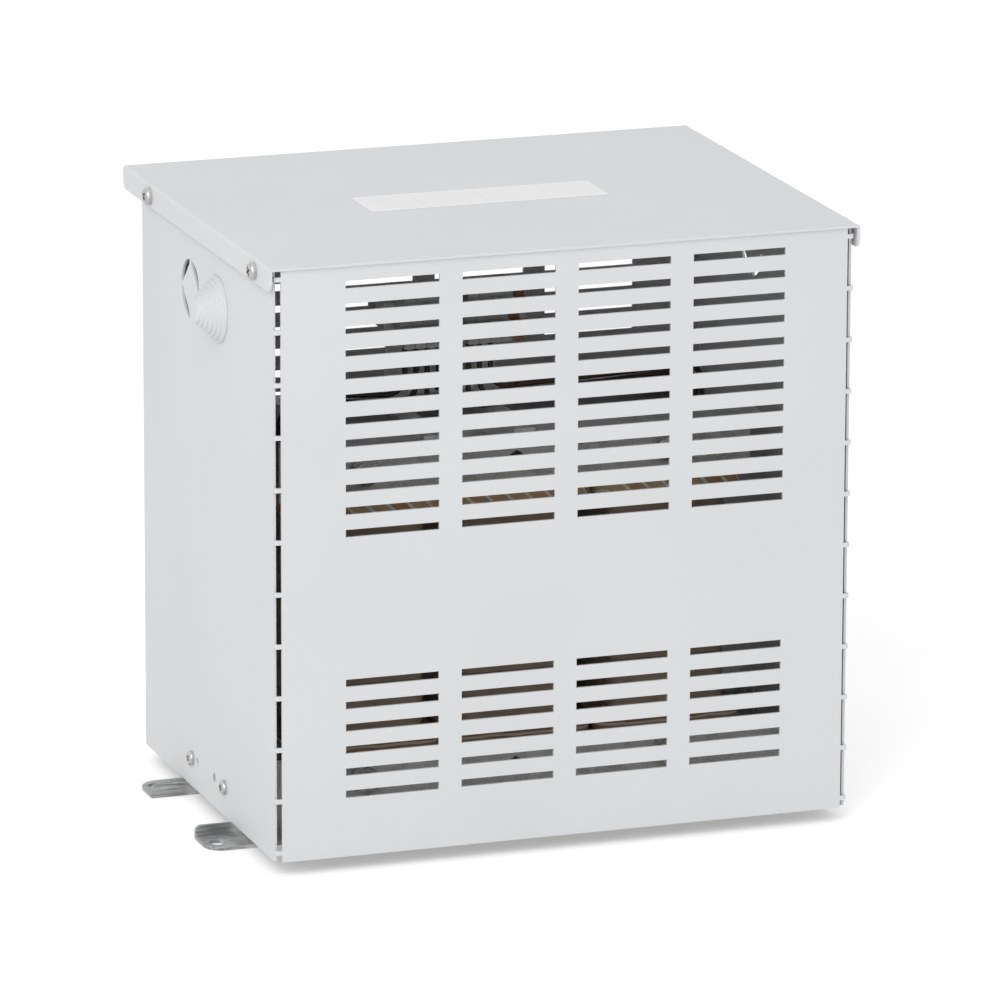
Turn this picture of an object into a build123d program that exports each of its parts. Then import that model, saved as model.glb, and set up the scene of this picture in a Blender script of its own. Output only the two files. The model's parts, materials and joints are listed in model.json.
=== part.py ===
"""Ventilated isolation transformer: a folded sheet case with slotted grilles, a top cover,
two mounting feet, and a three-leg core with its windings, clamps, terminals and leads.

Millimetres. X runs along the front panel, +Y to the rear, +Z up.
The origin is under the middle of the whole object, at the feet's underside.
Sizes named _y are measured from the front panel's face, and heights from the case's lower edge.
"""
import os

from build123d import *

# Case sheet
sheet = 1.5
case_width = 318.0
case_depth = 232.0
case_height = 316.0
fold_chamfer = 0.8

# Grille slots; the rear panel's rows stand higher than the front's by the lift
slot_length = 51.0
slot_height = 4.0
slot_pitch_x = 63.5
slot_columns = 4
row_pitch = 12.0
upper_rows = 12
lower_rows = 6
upper_first_row_drop = 9.8
lower_first_row = 93.8
rear_grille_lift = 3.7

# Slots along the front folds
fold_slot_reach = 3.5
fold_pitch = 27.83
fold_bridge = 2.35
fold_first_bridge = 5.2

# Side openings
entry_drop = 41.8
entry_diameter = 32.0
grommet_y = 97.4
knockout_y = 145.0
knockout_half_square = 10.6
knockout_tab = 3.0
empty_hole_diameter = 5.4
front_empty_hole_y = 107.7
rear_empty_hole_y = 137.5

# Rear panel
rear_flange = 12.0

# Top cover
cover_front_overhang = 1.5
cover_length = 258.5
cover_side_gap = 1.5
cover_flange = 12.5
cover_flange_corner = 5.0
cover_front_screw_y = 24.5
cover_rear_screw_y = 207.6
cover_screw_drop = 4.8

# Plate on the cover
label_width = 133.0
label_depth = 35.0
label_thickness = 0.3
label_corner = 2.0
label_off_centre_x = -4.5
label_centre_y = 125.0

# Cable grommet
grommet_base_diameter = 36.0
grommet_neck_diameter = 31.6
grommet_flange = 1.6
grommet_rings = 7
grommet_ring_step = 1.9
grommet_inner_flange = 1.6
grommet_inner_diameter = 34.0
grommet_wall = 1.4

# Case screws
cover_screw_diameter = 5.0
cover_head_diameter = 9.5
cover_head_height = 3.4
cover_screw_length = 11.0
side_screw_diameter = 4.0
side_head_diameter = 8.0
side_head_height = 2.5
side_screw_length = 9.0
screw_play = 0.4
screw_past_nut = 2.0
head_taper = 40.0
rivet_nut_flange_diameter = 9.0
rivet_nut_body_diameter = 7.0
rivet_nut_length = 9.0
press_nut_diameter = 8.0
press_nut_height = 3.5
side_screw_y = 89.0
side_screw_height = 16.0

# Flat sides that stand for a circle on small pieces
small_sides = 6
head_sides = 10
grommet_sides = 16

# Sheet of the feet and the upper clamps
bracket_sheet = 2.0

# Feet
foot_drop = 7.5
foot_overhang = 20.0
foot_flange = 26.0
foot_flange_corner = 10.0
foot_hole_diameter = 9.0
foot_hole_inset = 7.6
foot_hole_from_web = 16.2
foot_web_top = 31.5
foot_shoulder_corner = 3.0
foot_tab_length = 27.5

# Core
leg_pitch = 85.0
leg_width = 42.0
yoke_height = 30.0
wiring_room = 115.5
stack_depth = 68.0
core_bottom = 2.0
core_centre_y = 118.0
packing_thickness = 4.5

# Upper clamps
clamp_length = 264.0
clamp_above_yoke = 4.0
clamp_above_window = 1.0
clamp_flange = 20.0
centre_hole_diameter = 9.0

# Core bolts
bolt_diameter = 8.0
bolt_hole_diameter = 9.0
bolt_head_flats = 13.0
bolt_head_height = 5.3
nut_height = 6.5
washer_diameter = 16.0
washer_thickness = 1.6
bolt_past_nut = 3.0

# Windings
former_gap = 0.5
former_wall = 1.5
body_width = 66.0
body_depth = 90.0
body_corner = 4.0
collar_width = 82.0
collar_depth = 98.0
collar_corner = 5.0
collar_height = 10.0
coil_top_gap = 0.5

# Terminals
terminal_width = 6.0
terminal_pitch = 6.2
terminal_height = 29.0
terminal_depth = 37.0
terminal_drop = 39.5
terminal_front_y = 80.0
terminal_step_height = 4.0
terminal_step_depth = 5.0
terminal_channel_height = 7.0
terminal_channel_depth = 12.0
terminal_entry = 3.8
terminal_entry_depth = 7.0
terminal_well = 3.6
terminal_well_depth = 7.0
terminal_screw_offset = 7.0
terminal_screw_diameter = 3.2
terminal_screw_height = 1.2
secondary_count = 5
primary_count = 4
first_terminal_x = -60.0
group_gap = 4.4
end_stop_width = 6.0
end_stop_play = 0.2
end_stop_height = 15.0
end_stop_depth = 16.0

# Terminal rail and its supports
rail_height = 15.0
rail_crown_height = 10.5
rail_depth = 5.5
rail_sheet = 1.0
rail_length = 82.0
rail_centre_x = -27.0
support_width = 12.0
support_inset = 10.0
support_sheet = 2.0
support_above_rail_middle = 5.0
support_screw_diameter = 5.0
support_head_diameter = 9.0
support_head_height = 3.2
support_nut_flats = 8.0
support_nut_height = 4.0
support_hole_from_edge = 9.0
rail_screw_diameter = 4.0
rail_head_diameter = 7.0
rail_head_height = 2.4
rail_nut_flats = 7.0
rail_nut_height = 3.2

# Leads
lead_side = 2.6
lead_bend = 10.0
lead_from_leg = 31.0
lead_spacing = 9.0
lead_above_clamp = 16.5
lead_step = 5.0
lead_rear_clearance = 6.0
lead_entry_y = 94.0
side_leads = 3
rear_lead_x = -14.0

# Places worked out from the sizes above
front_y = cover_front_overhang - cover_length / 2
rear_y = front_y + case_depth
right_x = case_width / 2
case_bottom = foot_drop
case_top = case_bottom + case_height
core_y = front_y + core_centre_y
front_web_y = core_y - stack_depth / 2 - packing_thickness
rear_web_y = core_y + stack_depth / 2 + packing_thickness
core_low_z = case_bottom + core_bottom
window_low_z = core_low_z + yoke_height
yoke_top_z = case_top - wiring_room
window_high_z = yoke_top_z - yoke_height
lower_bolt_z = core_low_z + yoke_height / 2
upper_bolt_z = window_high_z + yoke_height / 2
leg_centres = [-leg_pitch, 0.0, leg_pitch]
entry_z = case_top - entry_drop
screw_z = case_bottom + side_screw_height
cover_screw_z = case_top - cover_screw_drop
cover_screw_ys = [front_y + cover_front_screw_y, front_y + cover_rear_screw_y]
side_screw_ys = [front_y + side_screw_y, 2 * core_y - front_y - side_screw_y]
clamp_top_z = yoke_top_z + clamp_above_yoke
clamp_low_z = window_high_z + clamp_above_window
collar_top_z = window_high_z - coil_top_gap
terminal_y = front_y + terminal_front_y
rail_y = terminal_y + terminal_depth
rail_back_y = rail_y + rail_depth
terminal_top_z = case_top - terminal_drop
terminal_low_z = terminal_top_z - terminal_height
rail_mid_z = terminal_low_z + terminal_height / 2
support_xs = [
    rail_centre_x + side * (rail_length / 2 - support_inset - support_width / 2) for side in (-1, 1)
]


def block(x0, x1, y0, y1, z0, z1):
    """A box between two corners."""
    return Pos((x0 + x1) / 2, (y0 + y1) / 2, (z0 + z1) / 2) * Box(x1 - x0, y1 - y0, z1 - z0)


def bar(start, end, section):
    """A straight bar of one section between two points on one axis."""
    start, end = Vector(*start), Vector(*end)
    plane = Plane(origin=start, z_dir=(end - start).normalized())
    return extrude(plane * section, (end - start).length)


def round_bar(start, end, diameter, sides=small_sides):
    """A small round bar or hole, with a few flat sides for its circle."""
    return bar(start, end, RegularPolygon(diameter / 2, sides))


def hexagon_bar(start, end, flats):
    """A six-sided bar, measured across its flats."""
    return bar(start, end, RegularPolygon(flats / 2, 6, major_radius=False))


def ring(width, depth, inner_width, inner_depth, corner, x, z0, z1):
    """A frame with cut corners round one core leg."""
    outer = chamfer(Rectangle(width, depth).vertices(), corner)
    inner = Rectangle(inner_width, inner_depth)
    return Pos(x, core_y, z0) * extrude(outer - inner, z1 - z0)


def row_heights():
    """Middle heights of all the grille rows."""
    upper = [case_top - upper_first_row_drop - row * row_pitch for row in range(upper_rows)]
    lower = [case_bottom + lower_first_row - row * row_pitch for row in range(lower_rows)]
    return upper + lower


def grille_cutters(y, lift):
    """Every slot of one grille, as cutters through the sheet at y."""
    slot = Rectangle(slot_length, slot_height)
    columns = [(column - (slot_columns - 1) / 2) * slot_pitch_x for column in range(slot_columns)]
    places = [(x, z + lift) for x in columns for z in row_heights()]
    return [extrude(Plane.XZ.offset(-y) * Pos(x, z) * slot, sheet, both=True) for x, z in places]


def fold_cutters(side):
    """The slots along one front fold, with the bridges between them left."""
    cutters = []
    low = case_bottom - sheet
    bridge = case_bottom + fold_first_bridge
    reach = fold_slot_reach
    while low < case_top:
        high = min(bridge - fold_bridge / 2, case_top + sheet)
        x0 = side * right_x - reach
        cutters.append(block(x0, x0 + 2 * reach, front_y - reach, front_y + reach, low, high))
        low = bridge + fold_bridge / 2
        bridge += fold_pitch
    return cutters


def knockout_cutters(side, y):
    """Four arched slits round a square that stands on one corner, held by four narrow tabs."""
    through = Plane.YZ.offset(side * right_x)
    hole = Circle(entry_diameter / 2)
    square = Rot(0, 0, 45) * Rectangle(2 * knockout_half_square, 2 * knockout_half_square)
    across = 2 * entry_diameter
    tabs = Rectangle(across, knockout_tab) + Rectangle(knockout_tab, across)
    slits = hole - square - tabs
    return [extrude(through * Pos(y, entry_z) * face, 2 * sheet, both=True) for face in slits.faces()]


def side_hole(side, y, z, diameter):
    """A cutter for a round hole through one side sheet."""
    start = (side * (right_x + sheet), y, z)
    end = (side * (right_x - sheet - 2 * bracket_sheet), y, z)
    return round_bar(start, end, diameter)


def make_case_wrap():
    """Front panel and both sides, folded from one sheet."""
    outer = block(-right_x, right_x, front_y, rear_y, case_bottom, case_top)
    outer = chamfer(outer.edges().filter_by(Axis.Z).group_by(Axis.Y)[0], fold_chamfer)
    inside = right_x - sheet
    inner = block(-inside, inside, front_y + sheet, rear_y + sheet, case_bottom - sheet, case_top + sheet)
    cutters = [inner] + grille_cutters(front_y, 0.0)
    for side in (-1, 1):
        cutters += fold_cutters(side)
        cutters += knockout_cutters(side, front_y + knockout_y)
        cutters += [side_hole(side, y, screw_z, side_screw_diameter + screw_play) for y in side_screw_ys]
        cutters += [side_hole(side, y, cover_screw_z, rivet_nut_body_diameter) for y in cover_screw_ys]
        for hole_y in (front_empty_hole_y, rear_empty_hole_y):
            cutters.append(side_hole(side, front_y + hole_y, screw_z, empty_hole_diameter))
    entry = Plane.YZ.offset(-right_x) * Pos(front_y + grommet_y, entry_z) * Circle(entry_diameter / 2)
    cutters.append(extrude(entry, 2 * sheet, both=True))
    return outer - cutters


def make_rear_panel():
    """Slotted rear panel with a flange folded forward along each side sheet."""
    half = right_x - sheet
    panel = block(-half, half, rear_y - sheet, rear_y, case_bottom, case_top)
    panel -= grille_cutters(rear_y, rear_grille_lift)
    for side in (-1, 1):
        edge = sorted((side * half, side * (half - sheet)))
        panel += block(edge[0], edge[1], rear_y - rear_flange, rear_y, case_bottom, case_top)
    return panel


def make_top_cover():
    """Cover sheet with a short flange down each side, running past the rear panel."""
    half = right_x + cover_side_gap + sheet
    y0 = front_y - cover_front_overhang
    y1 = y0 + cover_length
    low = case_top + sheet - cover_flange
    cover = block(-half, half, y0, y1, low, case_top + sheet)
    cover = fillet(cover.edges().filter_by(Axis.Y).group_by(Axis.Z)[-1], sheet)
    cover = fillet(cover.edges().filter_by(Axis.X).group_by(Axis.Z)[0], cover_flange_corner)
    cover -= block(sheet - half, half - sheet, y0 - sheet, y1 + sheet, low - sheet, case_top)
    hole = cover_screw_diameter + screw_play
    for y in cover_screw_ys:
        cover -= round_bar((-2 * half, y, cover_screw_z), (2 * half, y, cover_screw_z), hole)
    return cover


def make_label():
    """Bare plate stuck on the cover."""
    plate = chamfer(Rectangle(label_width, label_depth).vertices(), label_corner)
    place = Pos(label_off_centre_x, front_y + label_centre_y, case_top + sheet)
    return place * extrude(plate, label_thickness)


def disc(diameter, low, high):
    """One step of the grommet, along its own axis."""
    return Pos(0, 0, low) * extrude(RegularPolygon(diameter / 2, grommet_sides), high - low)


def make_grommet():
    """Stepped cable grommet: a flange each side of the sheet and rings that shrink outwards."""
    inner_end = -sheet - grommet_inner_flange
    grommet = disc(grommet_inner_diameter, inner_end, -sheet)
    grommet += disc(grommet_neck_diameter, -sheet, 0.0)
    grommet += disc(grommet_base_diameter, 0.0, grommet_flange)
    diameter = grommet_base_diameter
    height = grommet_flange
    for _ in range(grommet_rings - 1):
        diameter -= 2 * grommet_ring_step
        grommet += disc(diameter, height, height + grommet_ring_step)
        height += grommet_ring_step
    grommet -= disc(diameter - 2 * grommet_wall, inner_end, height - grommet_wall)
    return Pos(-right_x, front_y + grommet_y, entry_z) * Rot(0, -90, 0) * grommet


def pan_screw(diameter, length, head_diameter, head_height):
    """A pan-head screw; its head sits on z = 0 and its shank goes down."""
    rim = head_height / 2
    head_section = RegularPolygon(head_diameter / 2, head_sides)
    head = extrude(head_section, rim)
    crown = extrude(Pos(0, 0, rim) * head_section, head_height - rim, taper=head_taper)
    shank = Pos(0, 0, -length) * extrude(RegularPolygon(diameter / 2, small_sides), length)
    return head + crown + shank


def mirrored_x(shape):
    """A piece and its copy on the other side."""
    return [shape, mirror(shape, Plane.YZ)]


def make_cover_screws():
    """Screws through the cover's flanges."""
    screw = pan_screw(cover_screw_diameter, cover_screw_length, cover_head_diameter, cover_head_height)
    outside = right_x + cover_side_gap + sheet
    screws = []
    for y in cover_screw_ys:
        screws += mirrored_x(Pos(outside, y, cover_screw_z) * Rot(0, 90, 0) * screw)
    return screws


def make_rivet_nuts():
    """Rivet nuts in the side sheets; their flanges space the cover's flanges off."""
    outside = right_x + cover_side_gap
    inside = outside - rivet_nut_length
    nuts = []
    for y in cover_screw_ys:
        start, end = (inside, y, cover_screw_z), (outside, y, cover_screw_z)
        flange = round_bar((right_x, y, cover_screw_z), end, rivet_nut_flange_diameter)
        body = round_bar(start, end, rivet_nut_body_diameter)
        nuts += mirrored_x(flange + body - round_bar(start, end, cover_screw_diameter))
    return nuts


def make_side_screws():
    """Screws that hold the feet's end tabs to the side sheets."""
    screw = pan_screw(side_screw_diameter, side_screw_length, side_head_diameter, side_head_height)
    screws = []
    for y in side_screw_ys:
        screws += mirrored_x(Pos(right_x, y, screw_z) * Rot(0, 90, 0) * screw)
    return screws


def make_press_nuts():
    """Press nuts on the inside of the feet's end tabs."""
    outside = right_x - sheet - bracket_sheet
    inside = outside - press_nut_height
    nuts = []
    for y in side_screw_ys:
        body = round_bar((inside, y, screw_z), (outside, y, screw_z), press_nut_diameter)
        hole = round_bar((inside, y, screw_z), (outside, y, screw_z), side_screw_diameter)
        nuts += mirrored_x(body - hole)
    return nuts


def web_holes(z, y):
    """Cutters for the core bolt holes and the centre hole of one web."""
    reach = 4 * bracket_sheet
    diameters = (bolt_hole_diameter, centre_hole_diameter, bolt_hole_diameter)
    return [round_bar((x, y - reach, z), (x, y + reach, z), d) for x, d in zip(leg_centres, diameters)]


def make_front_foot():
    """Folded foot bracket: flange on the floor, web against the core, tabs along the side sheets."""
    half = right_x + foot_overhang
    inside = right_x - sheet
    web_front = front_web_y - bracket_sheet
    web_top = case_bottom + foot_web_top
    flange = block(-half, half, front_web_y - foot_flange, front_web_y, 0.0, bracket_sheet)
    flange = fillet(flange.edges().filter_by(Axis.Z).group_by(Axis.Y)[0], foot_flange_corner)
    low_web = block(-half, half, web_front, front_web_y, 0.0, case_bottom)
    low_web = fillet(low_web.edges().filter_by(Axis.Y).group_by(Axis.Z)[-1], foot_shoulder_corner)
    foot = flange + low_web + block(-inside, inside, web_front, front_web_y, case_bottom, web_top)
    for side in (-1, 1):
        edge = sorted((side * inside, side * (inside - bracket_sheet)))
        foot += block(edge[0], edge[1], web_front, web_front + foot_tab_length, case_bottom, web_top)
        foot -= side_hole(side, side_screw_ys[0], screw_z, side_screw_diameter + screw_play)
        hole_x = side * (half - foot_hole_inset)
        hole_y = front_web_y - foot_hole_from_web
        foot -= Pos(hole_x, hole_y, bracket_sheet / 2) * Cylinder(foot_hole_diameter / 2, 2 * bracket_sheet)
    return foot - web_holes(lower_bolt_z, front_web_y)


def to_rear(shape):
    """The same piece, turned to the other side of the core."""
    return mirror(shape, Plane.XZ.offset(-core_y))


def make_front_clamp():
    """Upper clamp angle: web against the core, flange forward along its top."""
    half = clamp_length / 2
    web_front = front_web_y - bracket_sheet
    clamp = block(-half, half, web_front, front_web_y, clamp_low_z, clamp_top_z)
    flange_front = front_web_y - clamp_flange
    clamp += block(-half, half, flange_front, front_web_y, clamp_top_z - bracket_sheet, clamp_top_z)
    for x in support_xs:
        y = front_web_y - clamp_flange + support_hole_from_edge
        hole = support_screw_diameter + screw_play
        clamp -= round_bar((x, y, clamp_low_z), (x, y, clamp_top_z + bracket_sheet), hole)
    return clamp - web_holes(upper_bolt_z, front_web_y)


def make_core():
    """Three-leg stack of laminations with two windows and four bolt holes."""
    half = leg_pitch + leg_width / 2
    core = block(-half, half, core_y - stack_depth / 2, core_y + stack_depth / 2, core_low_z, yoke_top_z)
    front = core_y - stack_depth
    back = core_y + stack_depth
    for side in (-1, 1):
        inner, outer = side * leg_width / 2, side * (leg_pitch - leg_width / 2)
        core -= block(min(inner, outer), max(inner, outer), front, back, window_low_z, window_high_z)
    for x, z in bolt_places():
        core -= round_bar((x, front, z), (x, back, z), bolt_hole_diameter)
    return core


def make_packing_strips():
    """Board strips between the core's yokes and the webs."""
    half = leg_pitch + leg_width / 2
    strips = []
    lower = (core_low_z, case_bottom + foot_web_top, lower_bolt_z)
    upper = (clamp_low_z, yoke_top_z, upper_bolt_z)
    for low, high, z in (lower, upper):
        strip = block(-half, half, front_web_y, front_web_y + packing_thickness, low, high)
        strip -= web_holes(z, front_web_y + packing_thickness)
        strips += [strip, to_rear(strip)]
    return strips


def make_former(x):
    """Square tube round one leg that carries its winding."""
    inner_width = leg_width + 2 * former_gap
    inner_depth = stack_depth + 2 * former_gap
    outer = Rectangle(inner_width + 2 * former_wall, inner_depth + 2 * former_wall)
    tube = extrude(outer - Rectangle(inner_width, inner_depth), collar_top_z - window_low_z)
    return Pos(x, core_y, window_low_z) * tube


def make_winding(x):
    """Wound body of one leg, between its end collars."""
    inner_width = leg_width + 2 * (former_gap + former_wall)
    inner_depth = stack_depth + 2 * (former_gap + former_wall)
    low = window_low_z + collar_height
    high = collar_top_z - collar_height
    return ring(body_width, body_depth, inner_width, inner_depth, body_corner, x, low, high)


def make_collars(low):
    """Taped end collars of the three windings at one height."""
    inner_width = leg_width + 2 * (former_gap + former_wall)
    inner_depth = stack_depth + 2 * (former_gap + former_wall)
    size = (collar_width, collar_depth, inner_width, inner_depth, collar_corner)
    return [ring(*size, x, low, low + collar_height) for x in leg_centres]


def bolt_stack_y():
    """Where washers, heads and nuts seat, from the web's outer face outwards."""
    return front_web_y - bracket_sheet


def bolt_places():
    """Axes of the four core bolts."""
    return [(x, z) for x in (-leg_pitch, leg_pitch) for z in (lower_bolt_z, upper_bolt_z)]


def make_core_bolts():
    """Hexagon bolts through both webs and the core."""
    seat = bolt_stack_y() - washer_thickness
    end = 2 * core_y - seat + nut_height + bolt_past_nut
    bolts = []
    for x, z in bolt_places():
        head = hexagon_bar((x, seat - bolt_head_height, z), (x, seat, z), bolt_head_flats)
        bolts.append(head + round_bar((x, seat, z), (x, end, z), bolt_diameter))
    return bolts


def make_core_nuts():
    """Nuts behind the rear webs."""
    seat = 2 * core_y - bolt_stack_y() + washer_thickness
    nuts = []
    for x, z in bolt_places():
        nut = hexagon_bar((x, seat, z), (x, seat + nut_height, z), bolt_head_flats)
        nuts.append(nut - round_bar((x, seat, z), (x, seat + nut_height, z), bolt_diameter))
    return nuts


def make_core_washers():
    """Washers under the bolt heads and the nuts."""
    washers = []
    for x, z in bolt_places():
        face = bolt_stack_y()
        washer = round_bar((x, face - washer_thickness, z), (x, face, z), washer_diameter, head_sides)
        washer -= round_bar((x, face - washer_thickness, z), (x, face, z), bolt_hole_diameter)
        washers += [washer, to_rear(washer)]
    return washers


def terminal_xs():
    """Left edges of the terminals: the secondary group, the primary group and the end terminal."""
    first = [first_terminal_x + place * terminal_pitch for place in range(secondary_count)]
    start = first[-1] + terminal_pitch + group_gap
    second = [start + place * terminal_pitch for place in range(primary_count)]
    return first, second, [second[-1] + terminal_pitch]


def make_terminal(x):
    """One rail terminal: stepped ends, a front channel, screw wells and wire entries above and below."""
    right = x + terminal_width
    mid_x = x + terminal_width / 2
    terminal = block(x, right, terminal_y, rail_y, terminal_low_z, terminal_top_z)
    half = terminal_channel_height / 2
    back = terminal_y + terminal_channel_depth
    terminal -= block(x, right, terminal_y, back, rail_mid_z - half, rail_mid_z + half)
    for side in (-1, 1):
        end = rail_mid_z + side * terminal_height / 2
        low, high = sorted((end, end - side * terminal_step_height))
        terminal -= block(x, right, terminal_y, terminal_y + terminal_step_depth, low, high)
        low, high = sorted((end, end - side * terminal_entry_depth))
        half = terminal_entry / 2
        entry_y = front_y + lead_entry_y
        terminal -= block(mid_x - half, mid_x + half, entry_y - half, entry_y + half, low, high)
        half = terminal_well / 2
        back = terminal_y + terminal_well_depth
        z = rail_mid_z + side * terminal_screw_offset
        terminal -= block(mid_x - half, mid_x + half, terminal_y, back, z - half, z + half)
    return terminal


def make_terminal_screws():
    """Clamp screws at the bottom of the terminals' wells."""
    seat = terminal_y + terminal_well_depth
    top = seat - terminal_screw_height
    xs = [x + terminal_width / 2 for x in sum(terminal_xs(), [])]
    zs = [rail_mid_z + side * terminal_screw_offset for side in (-1, 1)]
    return [round_bar((x, top, z), (x, seat, z), terminal_screw_diameter) for x in xs for z in zs]


def make_end_stops():
    """Clamps that hold the terminals together on the rail."""
    first, _, last = terminal_xs()
    lefts = [first[0] - end_stop_width - end_stop_play, last[0] + terminal_width + end_stop_play]
    front = rail_y - end_stop_depth
    low = rail_mid_z - end_stop_height / 2
    return [block(x, x + end_stop_width, front, rail_y, low, low + end_stop_height) for x in lefts]


def make_rail():
    """Top-hat terminal rail, its brims to the front."""
    x0 = rail_centre_x - rail_length / 2
    x1 = x0 + rail_length
    half = rail_height / 2
    crown = rail_crown_height / 2
    inner = crown - rail_sheet
    rail = block(x0, x1, rail_y, rail_y + rail_sheet, rail_mid_z - half, rail_mid_z + half)
    rail += block(x0, x1, rail_y, rail_back_y, rail_mid_z - crown, rail_mid_z + crown)
    rail -= block(x0, x1, rail_y, rail_back_y - rail_sheet, rail_mid_z - inner, rail_mid_z + inner)
    for x in support_xs:
        hole = rail_screw_diameter + screw_play
        rail -= round_bar((x, rail_y, rail_mid_z), (x, rail_back_y, rail_mid_z), hole)
    return rail


def make_rail_supports():
    """Angle brackets from the front clamp's flange up behind the rail."""
    supports = []
    for x in support_xs:
        x0 = x - support_width / 2
        x1 = x0 + support_width
        front = front_web_y - clamp_flange
        back = rail_back_y + support_sheet
        top = rail_mid_z + support_above_rail_middle
        piece = block(x0, x1, front, back, clamp_top_z, clamp_top_z + support_sheet)
        piece += block(x0, x1, rail_back_y, back, clamp_top_z, top)
        hole_y = front + support_hole_from_edge
        hole = support_screw_diameter + screw_play
        piece -= round_bar((x, hole_y, clamp_top_z), (x, hole_y, clamp_top_z + support_sheet), hole)
        hole = rail_screw_diameter + screw_play
        piece -= round_bar((x, rail_back_y, rail_mid_z), (x, back, rail_mid_z), hole)
        supports.append(piece)
    return supports


def make_support_screws():
    """Screws that hold the supports to the clamp's flange."""
    length = support_sheet + bracket_sheet + support_nut_height + screw_past_nut
    screw = pan_screw(support_screw_diameter, length, support_head_diameter, support_head_height)
    y = front_web_y - clamp_flange + support_hole_from_edge
    return [Pos(x, y, clamp_top_z + support_sheet) * screw for x in support_xs]


def make_support_nuts():
    """Nuts under the clamp's flange."""
    y = front_web_y - clamp_flange + support_hole_from_edge
    high = clamp_top_z - bracket_sheet
    nuts = []
    for x in support_xs:
        nut = hexagon_bar((x, y, high - support_nut_height), (x, y, high), support_nut_flats)
        nuts.append(nut - round_bar((x, y, high - support_nut_height), (x, y, high), support_screw_diameter))
    return nuts


def make_rail_screws():
    """Screws through the rail into its supports."""
    length = rail_sheet + support_sheet + rail_nut_height + screw_past_nut
    screw = pan_screw(rail_screw_diameter, length, rail_head_diameter, rail_head_height)
    return [Pos(x, rail_back_y - rail_sheet, rail_mid_z) * Rot(90, 0, 0) * screw for x in support_xs]


def make_rail_nuts():
    """Nuts behind the rail supports."""
    seat = rail_back_y + support_sheet
    nuts = []
    for x in support_xs:
        nut = hexagon_bar((x, seat, rail_mid_z), (x, seat + rail_nut_height, rail_mid_z), rail_nut_flats)
        end = (x, seat + rail_nut_height, rail_mid_z)
        nuts.append(nut - round_bar((x, seat, rail_mid_z), end, rail_screw_diameter))
    return nuts


def make_lead(points, end_x, run_z):
    """One lead through its first points, then under its terminal and up into the wire entry."""
    entry_y = front_y + lead_entry_y
    points = points + [(end_x, entry_y, run_z), (end_x, entry_y, terminal_low_z + terminal_entry_depth)]
    direction = (Vector(*points[1]) - Vector(*points[0])).normalized()
    section = Plane(origin=points[0], z_dir=direction) * Rectangle(lead_side, lead_side)
    return sweep(section, FilletPolyline(*points, radius=lead_bend))


def side_lead(side, place, end_x):
    """A lead that rises from an outer winding, past the end of the upper yoke."""
    x = side * (leg_pitch + lead_from_leg)
    y = core_y + (place - (side_leads - 1) / 2) * lead_spacing
    run_z = clamp_top_z + lead_above_clamp - place * lead_step
    return make_lead([(x, y, collar_top_z), (x, y, run_z)], end_x, run_z)


def rear_lead(place, end_x):
    """A lead that leaves the rear of the middle winding and rises behind the rear clamp."""
    x = rear_lead_x + place * lead_spacing
    y = rear_web_y + clamp_flange + lead_rear_clearance
    low = collar_top_z - collar_height / 2
    run_z = clamp_top_z + lead_above_clamp
    return make_lead([(x, core_y + collar_depth / 2, low), (x, y, low), (x, y, run_z)], end_x, run_z)


def make_secondary_leads():
    """Leads from the left and middle windings to the secondary terminals."""
    ends = [x + terminal_width / 2 for x in terminal_xs()[0]]
    leads = [side_lead(-1, place, end) for place, end in enumerate(ends[:side_leads])]
    return leads + [rear_lead(place, end) for place, end in enumerate(ends[side_leads:])]


def make_primary_leads():
    """Leads from the right winding to the primary terminals."""
    ends = [x + terminal_width / 2 for x in terminal_xs()[1][:side_leads]]
    return [side_lead(1, place, end) for place, end in enumerate(reversed(ends))]


def export(name, pieces):
    """Write one node, which may hold several separate solids."""
    solids = pieces.solids() if hasattr(pieces, "solids") else [s for p in pieces for s in p.solids()]
    shape = solids[0] if len(solids) == 1 else Compound(children=solids)
    export_step(shape, "parts/" + name + ".step")


os.makedirs("parts", exist_ok=True)
export("case_wrap", make_case_wrap())
export("rear_panel", make_rear_panel())
export("top_cover", make_top_cover())
export("rating_label", make_label())
export("cable_grommet", make_grommet())
export("cover_screws", make_cover_screws())
export("cover_rivet_nuts", make_rivet_nuts())
export("side_screws", make_side_screws())
export("side_press_nuts", make_press_nuts())
export("front_foot", make_front_foot())
export("rear_foot", to_rear(make_front_foot()))
export("front_clamp", make_front_clamp())
export("rear_clamp", to_rear(make_front_clamp()))
export("core_stack", make_core())
export("packing_strips", make_packing_strips())
export("coil_formers", [make_former(x) for x in leg_centres])
for name, x in zip(("left", "centre", "right"), leg_centres):
    export(name + "_winding", make_winding(x))
export("lower_collars", make_collars(window_low_z))
export("upper_collars", make_collars(collar_top_z - collar_height))
export("core_bolts", make_core_bolts())
export("core_nuts", make_core_nuts())
export("core_washers", make_core_washers())
export("secondary_terminals", [make_terminal(x) for x in terminal_xs()[0]])
export("primary_terminals", [make_terminal(x) for x in terminal_xs()[1]])
export("end_terminal", make_terminal(terminal_xs()[2][0]))
export("terminal_screws", make_terminal_screws())
export("end_stops", make_end_stops())
export("terminal_rail", make_rail())
export("rail_supports", make_rail_supports())
export("support_screws", make_support_screws())
export("support_nuts", make_support_nuts())
export("rail_screws", make_rail_screws())
export("rail_nuts", make_rail_nuts())
export("secondary_leads", make_secondary_leads())
export("primary_leads", make_primary_leads())
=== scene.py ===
"""Dresses a ventilated isolation transformer: painted case, galvanised brackets, core and windings,
terminals, screws and a cable grommet, in a plain pale studio. Metres, +X along the front panel, +Z up."""
import json
import math

import bpy
from mathutils import Matrix, Vector


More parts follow.
